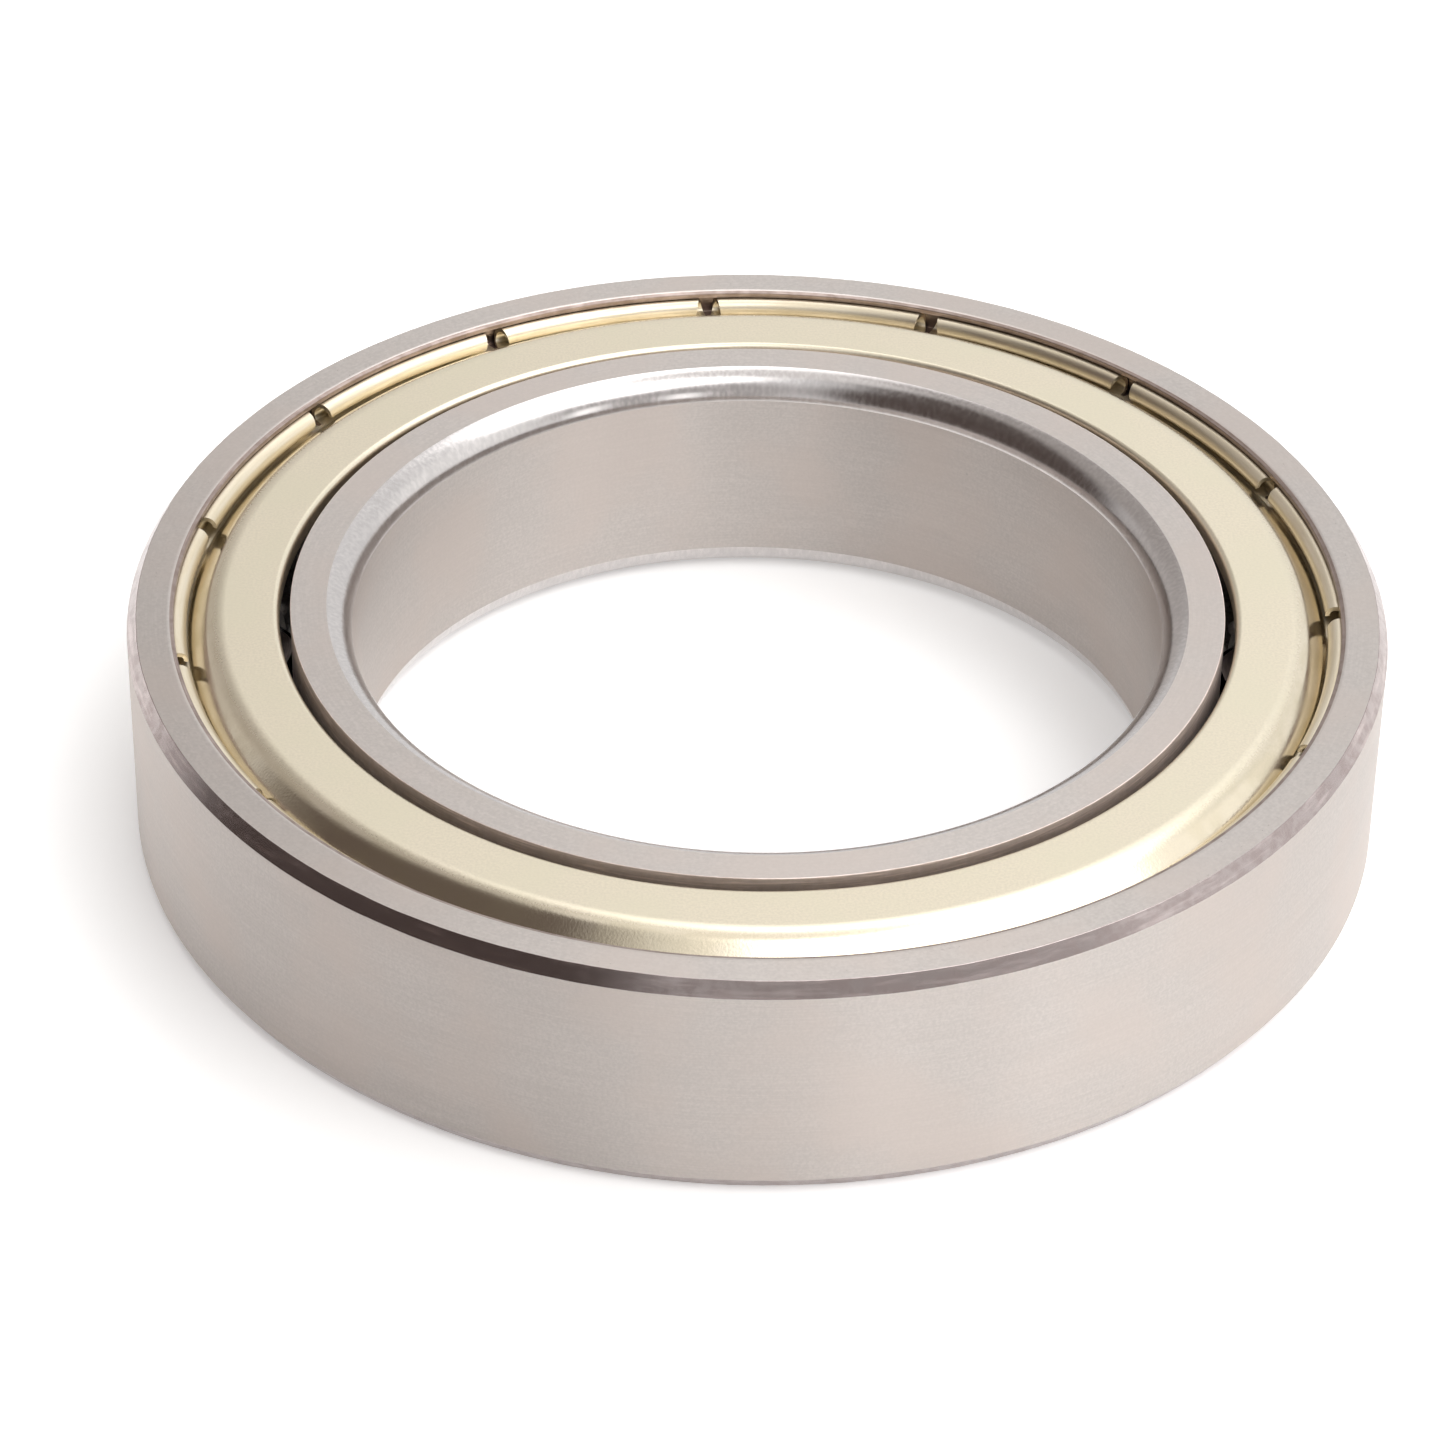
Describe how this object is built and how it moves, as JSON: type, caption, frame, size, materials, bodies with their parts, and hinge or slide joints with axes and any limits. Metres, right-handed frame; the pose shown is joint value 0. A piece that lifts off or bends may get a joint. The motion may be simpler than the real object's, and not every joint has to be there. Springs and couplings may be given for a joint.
{
  "type": "shielded deep groove ball bearing",
  "caption": "Shielded deep groove ball bearing: two ground steel rings, balls in a riveted ribbon cage, and a notched pressed shield on each side.",
  "frame": {"origin": "centre of the bearing: on the bore axis, half way between the two faces", "axes": "+Z along the bore axis; X and Y across it, with ball 1 on +X; the two sides are alike"},
  "size_m": [0.062, 0.062, 0.012],
  "materials": {
    "ring_steel": "fine ground satin",
    "shield_plating": "pale yellow passivated zinc, satin",
    "cage_steel": "pressed strip, semi bright",
    "ball_steel": "lapped mirror"
  },
  "bodies": {
    "outer": {"outer_ring": "ring_steel", "shield_top": "shield_plating", "shield_bottom": "shield_plating"},
    "inner": {"inner_ring": "ring_steel"},
    "cage": {"cage_upper": "cage_steel", "cage_lower": "cage_steel", "cage_rivets": "cage_steel"},
    "ball_01": {"ball_01": "ball_steel"},
    "ball_02": {"ball_02": "ball_steel"},
    "ball_03": {"ball_03": "ball_steel"},
    "ball_04": {"ball_04": "ball_steel"},
    "ball_05": {"ball_05": "ball_steel"},
    "ball_06": {"ball_06": "ball_steel"},
    "ball_07": {"ball_07": "ball_steel"},
    "ball_08": {"ball_08": "ball_steel"},
    "ball_09": {"ball_09": "ball_steel"},
    "ball_10": {"ball_10": "ball_steel"},
    "ball_11": {"ball_11": "ball_steel"},
    "ball_12": {"ball_12": "ball_steel"},
    "ball_13": {"ball_13": "ball_steel"},
    "ball_14": {"ball_14": "ball_steel"}
  },
  "joints": [
    {"name": "inner_spin", "type": "hinge", "parent": "outer", "child": "inner", "pos_m": [0, 0, 0], "axis": [0, 0, 1], "continuous": true},
    {"name": "cage_spin", "type": "hinge", "parent": "outer", "child": "cage", "pos_m": [0, 0, 0], "axis": [0, 0, 1], "continuous": true},
    {"name": "ball_01_roll", "type": "hinge", "parent": "cage", "child": "ball_01", "pos_m": [0.0255, 0, 0], "axis": [0, 0, 1], "continuous": true},
    {"name": "ball_02_roll", "type": "hinge", "parent": "cage", "child": "ball_02", "pos_m": [0.02297, 0.01106, 0], "axis": [0, 0, 1], "continuous": true},
    {"name": "ball_03_roll", "type": "hinge", "parent": "cage", "child": "ball_03", "pos_m": [0.0159, 0.01994, 0], "axis": [0, 0, 1], "continuous": true},
    {"name": "ball_04_roll", "type": "hinge", "parent": "cage", "child": "ball_04", "pos_m": [0.00567, 0.02486, 0], "axis": [0, 0, 1], "continuous": true},
    {"name": "ball_05_roll", "type": "hinge", "parent": "cage", "child": "ball_05", "pos_m": [-0.00567, 0.02486, 0], "axis": [0, 0, 1], "continuous": true},
    {"name": "ball_06_roll", "type": "hinge", "parent": "cage", "child": "ball_06", "pos_m": [-0.0159, 0.01994, 0], "axis": [0, 0, 1], "continuous": true},
    {"name": "ball_07_roll", "type": "hinge", "parent": "cage", "child": "ball_07", "pos_m": [-0.02297, 0.01106, 0], "axis": [0, 0, 1], "continuous": true},
    {"name": "ball_08_roll", "type": "hinge", "parent": "cage", "child": "ball_08", "pos_m": [-0.0255, 0, 0], "axis": [0, 0, 1], "continuous": true},
    {"name": "ball_09_roll", "type": "hinge", "parent": "cage", "child": "ball_09", "pos_m": [-0.02297, -0.01106, 0], "axis": [0, 0, 1], "continuous": true},
    {"name": "ball_10_roll", "type": "hinge", "parent": "cage", "child": "ball_10", "pos_m": [-0.0159, -0.01994, 0], "axis": [0, 0, 1], "continuous": true},
    {"name": "ball_11_roll", "type": "hinge", "parent": "cage", "child": "ball_11", "pos_m": [-0.00567, -0.02486, 0], "axis": [0, 0, 1], "continuous": true},
    {"name": "ball_12_roll", "type": "hinge", "parent": "cage", "child": "ball_12", "pos_m": [0.00567, -0.02486, 0], "axis": [0, 0, 1], "continuous": true},
    {"name": "ball_13_roll", "type": "hinge", "parent": "cage", "child": "ball_13", "pos_m": [0.0159, -0.01994, 0], "axis": [0, 0, 1], "continuous": true},
    {"name": "ball_14_roll", "type": "hinge", "parent": "cage", "child": "ball_14", "pos_m": [0.02297, -0.01106, 0], "axis": [0, 0, 1], "continuous": true}
  ],
  "couplings": [
    {"joint": "cage_spin", "follows": "inner_spin", "ratio": 0.43385},
    {"joint": "ball_01_roll", "follows": "inner_spin", "ratio": -3.7133},
    {"joint": "ball_02_roll", "follows": "inner_spin", "ratio": -3.7133},
    {"joint": "ball_03_roll", "follows": "inner_spin", "ratio": -3.7133},
    {"joint": "ball_04_roll", "follows": "inner_spin", "ratio": -3.7133},
    {"joint": "ball_05_roll", "follows": "inner_spin", "ratio": -3.7133},
    {"joint": "ball_06_roll", "follows": "inner_spin", "ratio": -3.7133},
    {"joint": "ball_07_roll", "follows": "inner_spin", "ratio": -3.7133},
    {"joint": "ball_08_roll", "follows": "inner_spin", "ratio": -3.7133},
    {"joint": "ball_09_roll", "follows": "inner_spin", "ratio": -3.7133},
    {"joint": "ball_10_roll", "follows": "inner_spin", "ratio": -3.7133},
    {"joint": "ball_11_roll", "follows": "inner_spin", "ratio": -3.7133},
    {"joint": "ball_12_roll", "follows": "inner_spin", "ratio": -3.7133},
    {"joint": "ball_13_roll", "follows": "inner_spin", "ratio": -3.7133},
    {"joint": "ball_14_roll", "follows": "inner_spin", "ratio": -3.7133}
  ]
}
